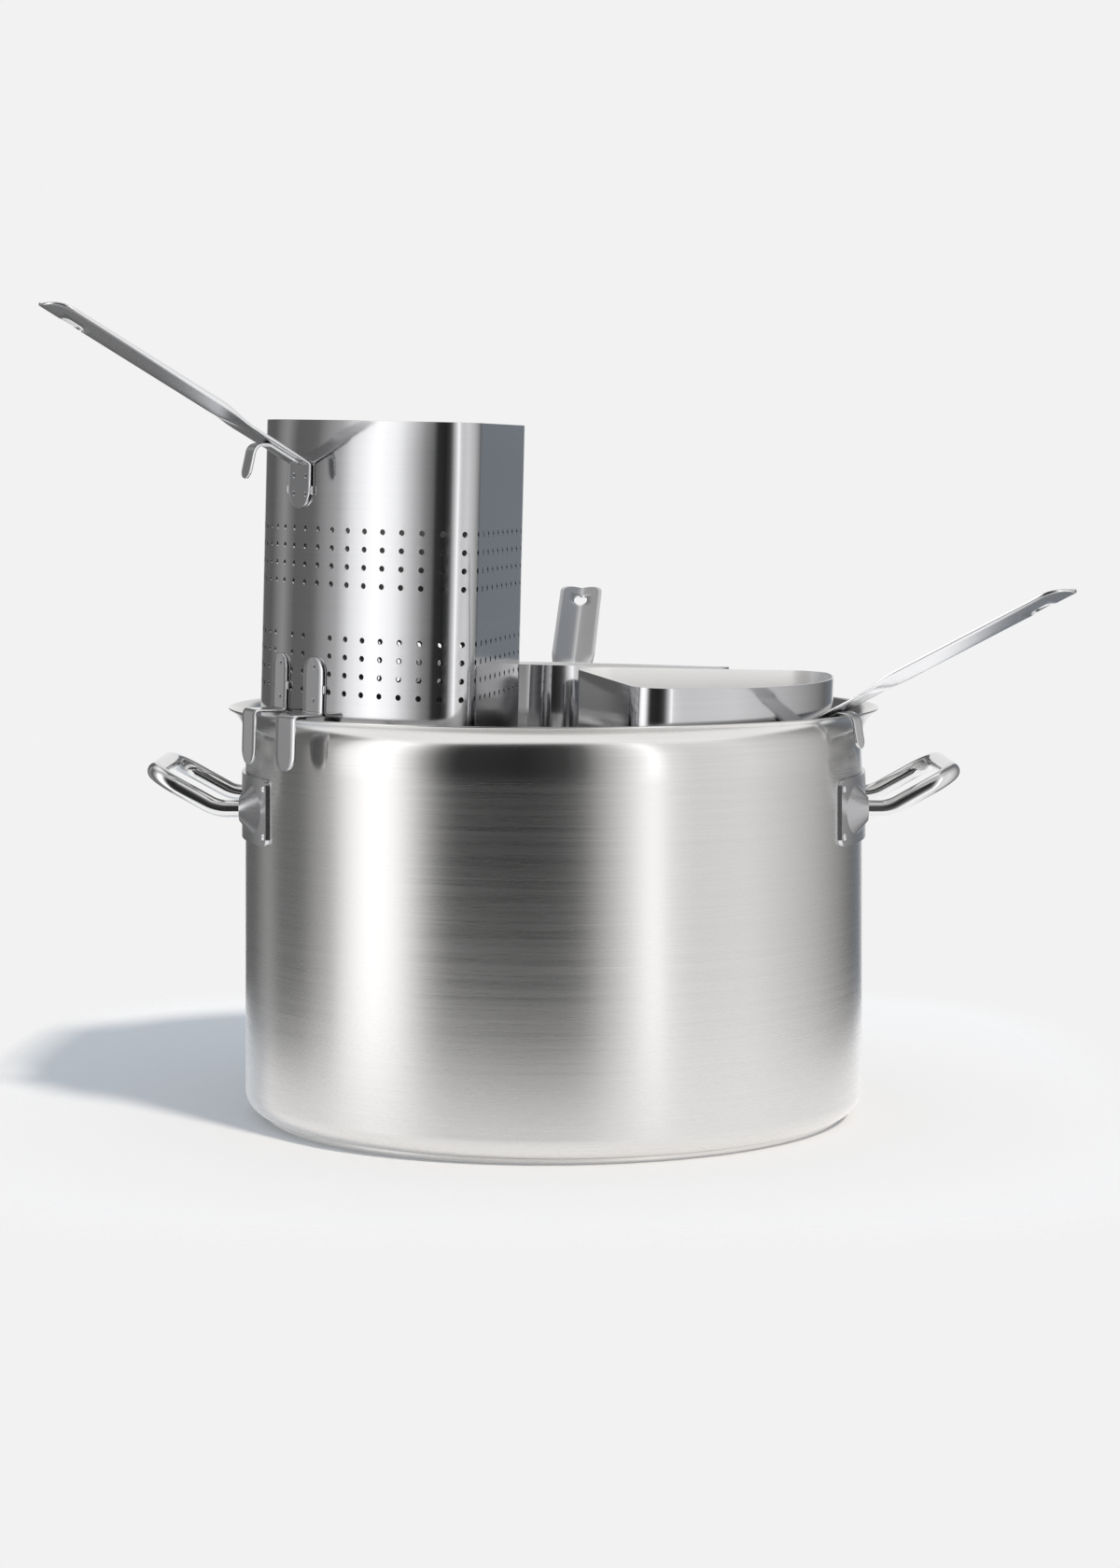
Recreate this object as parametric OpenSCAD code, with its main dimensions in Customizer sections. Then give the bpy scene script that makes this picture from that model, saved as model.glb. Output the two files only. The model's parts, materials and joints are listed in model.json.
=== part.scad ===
// Pasta pot with three lift-out strainer baskets.
// Millimetres, +Z up. The origin is on the pot's axis, in the plane that the pot stands on.
// Azimuths are seen from above: 0 is the front (-Y), 90 the right (+X), 180 the back.

/* [Pot] */
// Room between the pot's straight wall and the baskets' outer radius
basket_room = 22; // [20:0.5:24]
// Thickness of the drawn steel sheet
pot_sheet = 1; // [0.8:0.1:1.5]
// Height from the table to the top of the rim
pot_h = 238; // [225:1:300]
// Outside radius of the bottom corner
corner_r = 12; // [8:1:20]
// How far the pouring rim stands out from the wall
lip_overhang = 10.5; // [8:0.5:12]
// Height over which the wall flares into the rim
flare_h = 28; // [20:1:36]
// Distance of the heat-spreading base's edge inside the pot's outer wall
base_inset = 11; // [9:1:30]
// Height of the base below the pot's own bottom
base_h = 3; // [2.5:0.5:8]
// Thickness of the steel cap round the base
cap_sheet = 0.8; // [0.5:0.1:1.2]

/* [Side handles] */
// Diameter of the handle rod
rod_d = 10; // [8:0.5:11]
// Distance between the two legs of a handle, centre to centre
rod_span = 104; // [90:1:120]
// Depth of the legs' roots below the rim
rod_drop = 56.6; // [50:0.5:70]
// Length of a leg from its boss to its bend
rod_leg_len = 12.5; // [10.5:0.5:19.5]
// Length of a leg from its bend to the middle of the crossbar
rod_rise_len = 42.5; // [38:0.5:60]
// Angle by which the legs rise after the bend
rod_rise_a = 29; // [20:1:40]
// Bend radius where the legs turn up, to the rod's middle
rod_bend_r = 22; // [15:1:26]
// Radius of the two outer corners, to the rod's middle
rod_corner_r = 16; // [12:1:20]
// Thickness of the stamped bracket
bracket_sheet = 2; // [1.5:0.5:2.5]
// Half of the angle that the bracket spans on the wall
bracket_half_a = 27.5; // [26:0.5:32]
// Height of the bracket
bracket_h = 38; // [36:1:44]
// Corner radius of the bracket
bracket_corner_r = 5; // [3:1:8]
// Height of a boss's flat top above the pot's wall
boss_stand = 7.1; // [6.6:0.1:9.6]
// Radius of the flat top of a boss
boss_top_r = 7; // [6.5:0.5:8]
// Slope angle of a boss's side, from its own axis
boss_a = 51; // [45:1:55]
// Diameter of the bracket's rivets
rivet_d = 4.5; // [3:0.5:6]
// How far a rivet's head stands out
rivet_head = 1; // [0.5:0.1:1.5]

/* [Baskets] */
// Overall height of a basket
basket_h = 200; // [190:1:215]
// Radius of the curved outer wall, outside; the pot's radius follows it
basket_r = 158; // [150:1:176]
// Thickness of the basket sheet
basket_sheet = 1; // [0.8:0.1:1.2]
// Radius of the two outer corners
basket_corner_r = 18; // [14:1:24]
// Radius of the inner corner, at the pot's middle
basket_apex_r = 26; // [18:1:32]
// Inset of each flat side from the quarter line
basket_inset = 2; // [1:0.5:5]
// Diameter of the drain holes
hole_d = 3.4; // [3:0.1:4]
// Distance between hole columns, along the wall
hole_pitch = 12.35; // [11.5:0.05:12.5]
// Distance between the hole rows of a band
row_pitch = 10; // [8:0.5:11]
// Depth of the first hole row below the basket's top
first_row = 61; // [58:1:66]
// Distance from the last row of the upper band to the first row of the lower band
band_gap = 30; // [26:1:34]
// Shift of the holes, the handle and the hooks from the basket's middle line
pattern_shift = 1; // [0:0.5:3]

/* [Basket handles] */
// Thickness of the handle and the hooks
strap_sheet = 1.5; // [1.2:0.1:1.8]
// Width of the handle at the wall
tab_w = 24; // [20:1:26]
// Height of the tab that is welded to the wall
tab_h = 24; // [22:1:28]
// Depth of the handle's bend below the basket's top
handle_drop = 26; // [23:0.5:28]
// Length of the handle from its bend to its round end
handle_len = 179; // [140:0.5:200]
// Width of the handle's gutter
handle_w = 28; // [26:1:32]
// Length of the flat part next to the bend
handle_flat = 38; // [30:1:45]
// Length over which the flat part turns into the gutter
handle_blend = 25; // [15:1:30]
// Angle by which each side of the gutter is raised
gutter_a = 19; // [12:1:24]
// Width of the hanging slot
slot_w = 8.5; // [7:0.5:10]
// Length of the hanging slot
slot_l = 15; // [12:1:18]
// Distance from the handle's end to the middle of the slot
slot_in = 21; // [16:1:26]
// Width of the rest under the handle
rest_w = 10; // [8:1:14]
// Length of the rest's straight tail
rest_tail = 10; // [8:1:16]

/* [Hanging hooks] */
// Width of a hook
hook_w = 17.5; // [14:0.5:19]
// Distance between a basket's two hooks, in hole columns
hook_columns = 3; // [3:2:3]
// Depth of a hook's underside below the basket's top
hook_drop = 165; // [162:0.5:168]
// Height of the plate that is welded to the wall
hook_plate_h = 33; // [28:1:36]
// Play between a hook's outer leg and the rim's edge, when the basket hangs on it
hook_rim_play = 1.3; // [1.2:0.1:1.7]
// Play between a hook and the pot's wall, when the basket is in place
hook_wall_play = 0.8; // [0.6:0.1:1.6]
// Length of the outer leg
hook_leg = 30; // [20:1:31]

/* [Places of the baskets] */
// Azimuth of the basket that hangs raised on the rim
raised_azimuth = -56.5; // [-60:0.5:-50]
// Distance of its outer wall from the pot's straight wall, at rim level
raised_gap = 5.8; // [5.5:0.1:6]
// Lean of the raised basket, top outwards
raised_lean = -0.7; // [-1:0.1:0]
// Roll of the raised basket
raised_roll = 1.4; // [0:0.1:1.5]
// Rise of the raised basket's handle
raised_rise = 27.5; // [24:0.1:30]
// Azimuth of the basket in place at the right
right_azimuth = 59; // [50:0.5:65]
// Rise of the right basket's handle
right_rise = 28.8; // [24:0.1:30]
// Azimuth of the basket in place at the back
back_azimuth = 176.5; // [170:0.5:182]
// Roll of the back basket
back_roll = -1.1; // [-1.5:0.1:0]
// Rise of the back basket's handle
back_rise = 24.4; // [24:0.1:30]
// Height of a basket in place above the rim, at its outer wall
inplace_top = 16.6; // [15:0.1:18]
// Lean of a basket in place, top outwards
inplace_lean = 2.2; // [2:0.1:2.4]

/* [Hidden] */
$fn = 48;

// Overrun of a cut past the face it leaves
over = 1;
// Gap between sheets that are welded to each other
weld_gap = 0.1;
// Gap between a basket and the rim that carries it
seat_gap = 0.3;
// Radial gap round a rod in its boss
rod_gap = 0.1;
// Depth of a rod's end inside its boss
rod_tenon = 4;
// Distance of a rivet from the bracket's end and from its long edges
rivet_in = 5.5;
// Power of the flare's curve, and its number of steps
flare_power = 4;
flare_steps = 12;
// Steps of a rounded corner in a turned outline
corner_steps = 8;
// Radius of the cap's lower edge
cap_edge_r = 1.6;
// Inside radius of the bends of handle, hooks and rest
handle_bend_r = 2;
hook_bend_r = 1.5;
rest_bend_r = 6;
rest_hook_r = 5;
// Turn of the rest's outer end below level
rest_turn = 78;
// Distance by which the rest's level part passes the rim's edge, and the part's least length
rest_past_lip = 0.2;
rest_level = 1.5;
// Diameter and height of a spot weld's mark, and its distance from a plate's edges
spot_d = 3;
spot_h = 0.5;
spot_in = 5.5;
// Radius of a weld bead, and its length between its round ends
bead_r = 1;
bead_len = 3;
// Number of hole rows in each of the two bands
band_rows = 4;
// Distance that the base plate's holes keep from the wall
base_margin = 9;
// Half of the quarter circle that a basket fills
quarter_a = 45;
quarter_turn = 90;
// A bend between two straight pieces is thinner by this step on each face, and turns this far into both
seam_step = 0.04;
seam_turn = 1;
rod_step = 0.08;

pot_inner_r = basket_r + basket_room;
pot_r = pot_inner_r + pot_sheet;
lip_r = pot_r + lip_overhang;
base_r = pot_r - base_inset;
lip_tilt = atan(flare_power * lip_overhang / flare_h);
rod_z = pot_h - rod_drop;
bracket_r = pot_r + weld_gap;
bracket_out_r = bracket_r + bracket_sheet;
rivet_z = bracket_h / 2 - rivet_in;
rivet_a = bracket_half_a - asin(rivet_in / bracket_out_r);
boss_top_x = sqrt(pow(pot_r, 2) - pow(rod_span / 2, 2)) + boss_stand;
rod_bend_x = boss_top_x + rod_leg_len;

// Angle between a basket's middle line and the middle of its outer corner, from the outer wall's centre
corner_a = quarter_a - asin((basket_inset + basket_corner_r) / (basket_r - basket_corner_r));
corner_mid = [(basket_r - basket_corner_r) * cos(corner_a), (basket_r - basket_corner_r) * sin(corner_a)];
apex_mid = (basket_apex_r + basket_inset) / sin(quarter_a);
flat_normal = quarter_a + 90;
// Lengths along the wall from its middle: to the end of the outer arc, the corner and the flat side
arc_len = basket_r * corner_a * PI / 180;
corner_len = basket_corner_r * (flat_normal - corner_a) * PI / 180;
flat_end = [apex_mid + basket_apex_r * cos(flat_normal), basket_apex_r * sin(flat_normal)];
flat_start = [for (i = [0, 1]) corner_mid[i] + basket_corner_r * (i == 0 ? cos(flat_normal) : sin(flat_normal))];
flat_len = norm(flat_start - flat_end);
half_wall = arc_len + corner_len + flat_len + basket_apex_r * quarter_a * PI / 180;
side_columns = floor(half_wall / hole_pitch);

hook_z = basket_h - hook_drop;
hook_half = hook_columns * hole_pitch / 2;
handle_z = basket_h - handle_drop;
raised_wall_r = pot_inner_r - raised_gap;
hook_reach = lip_r - raised_wall_r + hook_rim_play;
inplace_wall_r = pot_inner_r - hook_wall_play - hook_reach - strap_sheet
    + (hook_drop - inplace_top) * sin(inplace_lean);
lip_reach = lip_r - inplace_wall_r;
rest_z = basket_h - inplace_top * cos(inplace_lean) + lip_reach * sin(inplace_lean) + seat_gap;
raised_top = hook_drop + seat_gap + (hook_half + pattern_shift + hook_w / 2) * sin(raised_roll);

// Angle on the outer arc that a length along the wall covers
function wall_angle(length) = length / basket_r * 180 / PI;

// Place and facing of a point on the basket's wall, a length t from its middle: [x, y, angle]
function wall_point(t) =
    let (side = sign(t), d = abs(t))
    d <= arc_len ?
        [basket_r * cos(wall_angle(d)), side * basket_r * sin(wall_angle(d)), side * wall_angle(d)]
    : d <= arc_len + corner_len ?
        let (a = corner_a + (d - arc_len) / basket_corner_r * 180 / PI)
        [corner_mid[0] + basket_corner_r * cos(a), side * (corner_mid[1] + basket_corner_r * sin(a)), side * a]
    : d <= arc_len + corner_len + flat_len ?
        let (share = (d - arc_len - corner_len) / flat_len)
        [flat_start[0] + share * (flat_end[0] - flat_start[0]),
            side * (flat_start[1] + share * (flat_end[1] - flat_start[1])), side * flat_normal]
    :   let (a = flat_normal + (d - arc_len - corner_len - flat_len) / basket_apex_r * 180 / PI)
        [apex_mid + basket_apex_r * cos(a), side * basket_apex_r * sin(a), side * a];

// Middle line of the pot's wall in the flare, from its foot (0) to the rim (1): [radius, height]
function flare_mid(share) =
    [pot_r - pot_sheet / 2 + lip_overhang * pow(share, flare_power),
        pot_h - pot_sheet / 2 * sin(lip_tilt) - flare_h * (1 - share)];
function flare_slope(share) = atan(flare_power * lip_overhang / flare_h * pow(share, flare_power - 1));
function flare_point(share, side) =
    flare_mid(share) + side * pot_sheet / 2 * [cos(flare_slope(share)), -sin(flare_slope(share))];
function arc_points(mid, r, from, to) =
    [for (i = [0:corner_steps]) mid + r * [cos(from + (to - from) * i / corner_steps),
        sin(from + (to - from) * i / corner_steps)]];

// Bent sheet: each step is [straight length, turn after it, inside radius of the turn].
// It runs along +X with its lower face at z = 0; a turn above zero goes up.
module bent_strap(steps, w, sheet, round_start = false, round_end = false) {
    step = steps[0];
    last = len(steps) == 1;
    start_cut = round_start ? w / 2 : 0;
    end_cut = last && round_end ? w / 2 : 0;
    translate([start_cut, -w / 2, 0]) cube([step[0] - start_cut - end_cut, w, sheet]);
    if (round_start) translate([w / 2, 0, 0]) cylinder(d = w, h = sheet);
    if (last && round_end) translate([step[0] - w / 2, 0, 0]) cylinder(d = w, h = sheet);
    if (!last) {
        up = step[1] > 0;
        pivot = up ? sheet + step[2] : -step[2];
        translate([step[0], 0, pivot]) {
            strap_bend(step[2], sheet, w, up ? -90 : 90 + step[1], up ? step[1] - 90 : 90);
            rotate([0, -step[1], 0]) translate([0, 0, -pivot])
                bent_strap([for (i = [1:len(steps) - 1]) steps[i]], w, sheet, false, round_end);
        }
    }
}

module strap_bend(inner_r, sheet, w, from, to) {
    rotate([90, 0, 0]) rotate([0, 0, from - seam_turn])
        rotate_extrude(angle = to - from + 2 * seam_turn)
            translate([inner_r + seam_step, seam_step - w / 2]) square([sheet - 2 * seam_step, w - 2 * seam_step]);
}

// Upright sheet bent round mid, from one angle to another. A bend that joins two other pieces
// is thinner by two steps and turns a little into both, so that the pieces overlap
module wall_arc(mid, r, from, to, step = 0, turn = 0) {
    translate([mid[0], mid[1], 0]) rotate([0, 0, from - turn])
        rotate_extrude(angle = to - from + 2 * turn)
            translate([r - basket_sheet + step, step]) square([basket_sheet - 2 * step, basket_h - 2 * step]);
}

// Sector round mid of a plate's rounded corner, from one angle to another. It is thinner by two steps
// and turns a little into its neighbours, so that they overlap
module plate_corner(mid, r, from, to) {
    translate([mid[0], mid[1], 0]) rotate([0, 0, from - seam_turn])
        rotate_extrude(angle = to - from + 2 * seam_turn)
            translate([0, seam_step]) square([r - seam_step, basket_sheet - 2 * seam_step]);
}

// Moves a basket from its own frame to its place on the pot
module seat(azimuth, wall_r, top, lean, roll) {
    rotate([0, 0, azimuth - 90]) translate([wall_r, 0, pot_h]) rotate([-roll, lean, 0])
        translate([-basket_r, 0, top - basket_h]) children();
}
module seat_raised() {
    seat(raised_azimuth, raised_wall_r, raised_top, raised_lean, raised_roll) children();
}
module seat_right() {
    seat(right_azimuth, inplace_wall_r, inplace_top, inplace_lean, 0) children();
}
module seat_back() {
    seat(back_azimuth, inplace_wall_r, inplace_top, inplace_lean, back_roll) children();
}

// Faces out of the wall at a length t from the basket's middle: +X outwards, origin on the wall
module on_wall(t) {
    p = wall_point(t);
    translate([p[0], p[1], 0]) rotate([0, 0, p[2]]) children();
}

// Perforated wall of a basket
module basket_wall() {
    color([0.78, 0.79, 0.8])
    difference() {
        union() {
            wall_arc([0, 0], basket_r, -corner_a, corner_a);
            wall_arc([apex_mid, 0], basket_apex_r, flat_normal, 360 - flat_normal, seam_step, seam_turn);
            wall_arc(corner_mid, basket_corner_r, corner_a, flat_normal, seam_step, seam_turn);
            wall_arc([corner_mid[0], -corner_mid[1]], basket_corner_r, -flat_normal, -corner_a, seam_step, seam_turn);
            translate([flat_start[0], flat_start[1], 0]) rotate([0, 0, flat_normal])
                translate([-basket_sheet, 0, 0]) cube([basket_sheet, flat_len, basket_h]);
            translate([flat_start[0], -flat_start[1], 0]) rotate([0, 0, -flat_normal])
                translate([-basket_sheet, -flat_len, 0]) cube([basket_sheet, flat_len, basket_h]);
        }
        for (column = [-side_columns:side_columns - 1])
            for (band = [0, 1])
                for (row = [0:band_rows - 1])
                    if (!(band == 1 && (column == -2 || column == 1)))
                        on_wall((column + 0.5) * hole_pitch + pattern_shift)
                            translate([-2 * basket_sheet, 0, basket_h - first_row - row * row_pitch
                                - band * ((band_rows - 1) * row_pitch + band_gap)])
                                rotate([0, 90, 0]) cylinder(d = hole_d, h = 3 * basket_sheet);
    }
}

// Perforated plate that closes a basket below
module basket_base() {
    inset = basket_sheet + weld_gap;
    flat_limit = (basket_inset + base_margin) * sqrt(2);
    side_limit = corner_mid[1] + basket_corner_r - base_margin;
    steps = floor(basket_r / hole_pitch);
    edge_in = inset * [cos(flat_normal), sin(flat_normal)];
    near = flat_end - edge_in;
    out = flat_start - edge_in;
    tip_a = (corner_a + flat_normal) / 2;
    tip = corner_mid + basket_corner_r / 2 * [cos(tip_a), sin(tip_a)];
    color([0.76, 0.77, 0.78])
    difference() {
        union() {
            rotate([0, 0, -corner_a]) rotate_extrude(angle = 2 * corner_a)
                translate([basket_r / 2, 0]) square([basket_r / 2 - inset, basket_sheet]);
            plate_corner([apex_mid, 0], basket_apex_r - inset, flat_normal, 360 - flat_normal);
            plate_corner(corner_mid, basket_corner_r - inset, corner_a, flat_normal);
            plate_corner([corner_mid[0], -corner_mid[1]], basket_corner_r - inset, -flat_normal, -corner_a);
            linear_extrude(basket_sheet)
                polygon([near, out, tip, [tip[0], -tip[1]], [out[0], -out[1]], [near[0], -near[1]],
                    [apex_mid - basket_apex_r / 2, 0]]);
        }
        for (i = [1:steps])
            for (j = [-i:i]) {
                x = i * hole_pitch + hole_pitch / 2;
                y = j * hole_pitch;
                if (x - abs(y) > flat_limit && norm([x, y]) < basket_r - base_margin && abs(y) < side_limit)
                    translate([x, y, -over]) cylinder(d = hole_d, h = basket_sheet + 2 * over);
            }
    }
}

// Frame of a handle's straight run: +X along it, origin at the end of the bend on its lower face
module handle_run(rise) {
    on_wall(pattern_shift)
        translate([weld_gap + strap_sheet + handle_bend_r, 0, handle_z])
            rotate([0, -rise, 0]) translate([0, 0, handle_bend_r]) children();
}

// Section of the handle's gutter on one side, -1 or 1: [across, up]
function gutter_side(side) =
    let (half = handle_w / 2, dip = half * tan(gutter_a) / 2, thick = strap_sheet / cos(gutter_a))
    [[-side * seam_step, -dip], [side * half, dip], [side * half, dip + thick], [-side * seam_step, thick - dip]];

// Long handle of a basket, with its welded tab and its hanging slot
module basket_handle(rise) {
    gutter_len = handle_len - handle_flat - handle_blend;
    slice = over / 50;
    color([0.72, 0.73, 0.74]) {
        on_wall(pattern_shift) translate([weld_gap, 0, handle_z]) {
            translate([0, -tab_w / 2, tab_w / 2 - tab_h]) cube([strap_sheet, tab_w, tab_h - tab_w / 2]);
            translate([0, 0, tab_w / 2 - tab_h]) rotate([0, 90, 0]) cylinder(d = tab_w, h = strap_sheet);
            translate([strap_sheet + handle_bend_r, 0, 0])
                strap_bend(handle_bend_r, strap_sheet, tab_w, 90 + rise, 180);
        }
        handle_run(rise) {
            translate([0, -tab_w / 2, 0]) cube([handle_flat, tab_w, strap_sheet]);
            for (side = [-1, 1])
                hull() {
                    translate([handle_flat - slice, side < 0 ? -tab_w / 2 : -seam_step, 0])
                        cube([slice, tab_w / 2 + seam_step, strap_sheet]);
                    translate([handle_flat + handle_blend, 0, 0])
                        rotate([90, 0, 90]) linear_extrude(slice) polygon(gutter_side(side));
                }
            difference() {
                intersection() {
                    translate([handle_flat + handle_blend, 0, 0])
                        rotate([90, 0, 90]) linear_extrude(gutter_len)
                            for (side = [-1, 1]) polygon(gutter_side(side));
                    translate([0, 0, -handle_w / 2]) linear_extrude(handle_w) handle_plan();
                }
                for (end = [-1, 1])
                    translate([handle_len - slot_in + end * (slot_l - slot_w) / 2, 0, -handle_w / 2])
                        cylinder(d = slot_w, h = handle_w);
                translate([handle_len - slot_in - (slot_l - slot_w) / 2, -slot_w / 2, -handle_w / 2])
                    cube([slot_l - slot_w, slot_w, handle_w]);
            }
        }
    }
}

// Outline of the handle with its round end, seen from above
module handle_plan() {
    translate([0, -handle_w / 2]) square([handle_len - handle_w / 2, handle_w]);
    translate([handle_len - handle_w / 2, 0]) circle(d = handle_w);
}

// Curved rest under the handle, which hooks over the rim
module basket_rest(rise) {
    lower = handle_bend_r - weld_gap - strap_sheet - rest_bend_r;
    slope_len = (rest_z - handle_z - lower * cos(rise) - rest_bend_r) / sin(rise);
    level_x = weld_gap + strap_sheet + handle_bend_r + slope_len * cos(rise) - lower * sin(rise);
    level_len = max(rest_level, lip_reach + rest_past_lip - level_x);
    color([0.72, 0.73, 0.74])
    handle_run(rise) translate([0, 0, -weld_gap - strap_sheet])
        bent_strap([[slope_len, -rise, rest_bend_r], [level_len, -rest_turn, rest_hook_r], [rest_tail + rest_w / 2]],
            rest_w, strap_sheet, false, true);
}

// Hook at the foot of a basket, side -1 or 1
module basket_hook(side) {
    drop = hook_plate_h - strap_sheet - hook_bend_r;
    level = hook_reach - weld_gap - strap_sheet - 2 * hook_bend_r;
    color([0.72, 0.73, 0.74])
    on_wall(side * hook_half + pattern_shift) translate([weld_gap, 0, hook_z + hook_plate_h])
        rotate([0, 90, 0])
            bent_strap([[drop, 90, hook_bend_r], [level, -90, hook_bend_r], [hook_leg - hook_bend_r]],
                hook_w, strap_sheet, true, true);
}

// Marks of the spot welds and the beads beside the tab and the hooks
module basket_welds() {
    face = weld_gap + strap_sheet;
    color([0.66, 0.66, 0.67]) {
        on_wall(pattern_shift)
            for (y = [spot_in - tab_w / 2, tab_w / 2 - spot_in])
                for (z = [spot_in, tab_h - 1.5 * spot_in])
                    translate([face, y, handle_z - z]) rotate([0, 90, 0]) cylinder(d = spot_d, h = spot_h);
        for (side = [-1, 1]) weld_bead(pattern_shift, side * tab_w / 2, handle_z - tab_h / 2);
        for (hook = [-1, 1]) {
            on_wall(hook * hook_half + pattern_shift)
                for (z = [hook_bend_r + strap_sheet + spot_in, hook_plate_h - spot_in])
                    translate([face, 0, hook_z + z]) rotate([0, 90, 0]) cylinder(d = spot_d, h = spot_h);
            weld_bead(hook * hook_half + pattern_shift, hook_w / 2, hook_z + hook_plate_h / 2);
        }
    }
}

// Bead on the wall beside the edge of a plate: the plate's middle is at t, its edge at y from there
module weld_bead(t, y, z) {
    on_wall(t + sign(y) * (abs(y) + bead_r + weld_gap)) translate([bead_r, 0, z]) {
        sphere(bead_r);
        translate([0, 0, -bead_len]) sphere(bead_r);
        translate([0, 0, -bead_len]) cylinder(r = bead_r, h = bead_len);
    }
}

// Drawn pot with a flared pouring rim
module pot_body() {
    outer_mid = [pot_r - corner_r, base_h + corner_r];
    inner_corner_r = corner_r - pot_sheet;
    outside = arc_points(outer_mid, corner_r, -90, 0);
    inside = arc_points(outer_mid, inner_corner_r, 0, -90);
    color([0.74, 0.75, 0.76])
    rotate_extrude($fn = 144)
        polygon(concat([[0, base_h]], outside,
            [for (i = [0:flare_steps]) flare_point(i / flare_steps, 1)],
            [for (i = [flare_steps:-1:0]) flare_point(i / flare_steps, -1)],
            inside, [[0, base_h + pot_sheet]]));
}

// Aluminium disc that spreads the heat
module base_core() {
    color([0.82, 0.83, 0.84])
    translate([0, 0, cap_sheet])
        cylinder(r = base_r - cap_sheet - weld_gap, h = base_h - cap_sheet - weld_gap, $fn = 144);
}

// Steel cap round the aluminium disc
module base_cap() {
    outer_mid = [base_r - cap_edge_r, cap_edge_r];
    outside = arc_points(outer_mid, cap_edge_r, -90, 0);
    inner_r = base_r - cap_sheet;
    color([0.6, 0.6, 0.61])
    rotate_extrude($fn = 144)
        polygon(concat([[0, 0]], outside, [[base_r, base_h - weld_gap], [inner_r, base_h - weld_gap],
            [inner_r, cap_sheet], [0, cap_sheet]]));
}

// Turns a side handle's piece from the right side of the pot to side 1 (right) or -1 (left)
module at_side(side) {
    rotate([0, 0, side > 0 ? 0 : 180]) children();
}

// Stamped bracket with a conical boss for each leg of the handle
module bracket() {
    tail = boss_top_x - bracket_r * cos(bracket_half_a);
    slope = tan(boss_a);
    difference() {
        union() {
            intersection() {
                cylinder_band(bracket_r, bracket_out_r, bracket_h);
                bracket_outline(bracket_r);
            }
            difference() {
                intersection() {
                    boss_cones(0, boss_top_r, boss_top_r + tail * slope, tail);
                    cylinder_band(bracket_r, norm([boss_top_x, rod_span / 2 + boss_top_r]) + over, bracket_h);
                    bracket_outline(bracket_r);
                }
                at_rivets() cylinder(d = rivet_d + 2 * weld_gap, h = tail);
            }
        }
        boss_cones(-bracket_sheet, boss_top_r - bracket_sheet * slope / 2,
            boss_top_r - bracket_sheet * slope / 2 + tail * slope, tail);
        for (side = [-1, 1])
            translate([boss_top_x - tail, side * rod_span / 2, rod_z])
                rotate([0, 90, 0]) cylinder(d = rod_d + 2 * rod_gap, h = tail + over);
    }
}

// Tube round the pot's axis at the height of the handles
module cylinder_band(inner, outer, h) {
    translate([0, 0, rod_z - h / 2])
        difference() {
            cylinder(r = outer, h = h, $fn = 144);
            translate([0, 0, -over]) cylinder(r = inner, h = h + 2 * over, $fn = 144);
        }
}

// Bracket's outline, seen along X, as a block that spans the wall
module bracket_outline(r) {
    half_w = r * sin(bracket_half_a);
    half_h = bracket_h / 2;
    c = bracket_corner_r;
    translate([0, 0, rod_z]) rotate([90, 0, 90]) linear_extrude(lip_r) {
        translate([-half_w, c - half_h]) square([2 * half_w, bracket_h - 2 * c]);
        translate([c - half_w, -half_h]) square([2 * half_w - 2 * c, bracket_h]);
        for (x = [-1, 1])
            for (y = [-1, 1])
                translate([x * (half_w - c), y * (half_h - c)]) circle(c);
    }
}

// Pair of cones along X whose flat tops are shift beyond the bosses' tops
module boss_cones(shift, top_r, foot_r, h) {
    for (side = [-1, 1])
        translate([boss_top_x + shift - h, side * rod_span / 2, rod_z])
            rotate([0, 90, 0]) cylinder(r1 = foot_r, r2 = top_r, h = h);
}

// Puts a piece on the bracket's outer face at each of its four rivets, +Z outwards
module at_rivets() {
    for (side = [-1, 1])
        for (up = [-1, 1])
            rotate([0, 0, side * rivet_a]) translate([bracket_out_r, 0, rod_z + up * rivet_z])
                rotate([0, 90, 0]) children();
}

// Heads of the rivets
module rivets() {
    at_rivets() cylinder(d1 = rivet_d, d2 = rivet_d / 2, h = rivet_head);
}

// Bend of the rod round the origin, from +X on by an angle
module rod_turn(r, angle) {
    rotate([0, 0, -seam_turn])
        rotate_extrude(angle = angle + 2 * seam_turn) translate([r, 0]) circle(d = rod_d - 2 * rod_step);
}

// U-shaped rod of a side handle
module rod_handle() {
    for (side = [-1, 1]) scale([1, side, 1]) rod_half();
}

// Half of a rod handle: leg, bend, rise, corner and half of the crossbar
module rod_half() {
    bend_cut = rod_bend_r * tan(rod_rise_a / 2);
    root_x = boss_top_x - rod_tenon;
    rise_len = rod_rise_len - bend_cut - rod_corner_r;
    translate([root_x, rod_span / 2, rod_z]) {
        rotate([0, 90, 0]) cylinder(d = rod_d, h = rod_bend_x - bend_cut - root_x);
        translate([rod_bend_x - bend_cut - root_x, 0, rod_bend_r]) {
            rotate([90, 0, 0]) rotate([0, 0, -90])
                rod_turn(rod_bend_r, rod_rise_a);
            rotate([0, -rod_rise_a, 0]) translate([0, 0, -rod_bend_r]) {
                rotate([0, 90, 0]) cylinder(d = rod_d, h = rise_len);
                translate([rise_len, -rod_corner_r, 0]) {
                    rod_turn(rod_corner_r, quarter_turn);
                    translate([rod_corner_r, 0, 0])
                        rotate([90, 0, 0]) cylinder(d = rod_d, h = rod_span / 2 - rod_corner_r);
                }
            }
        }
    }
}

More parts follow.
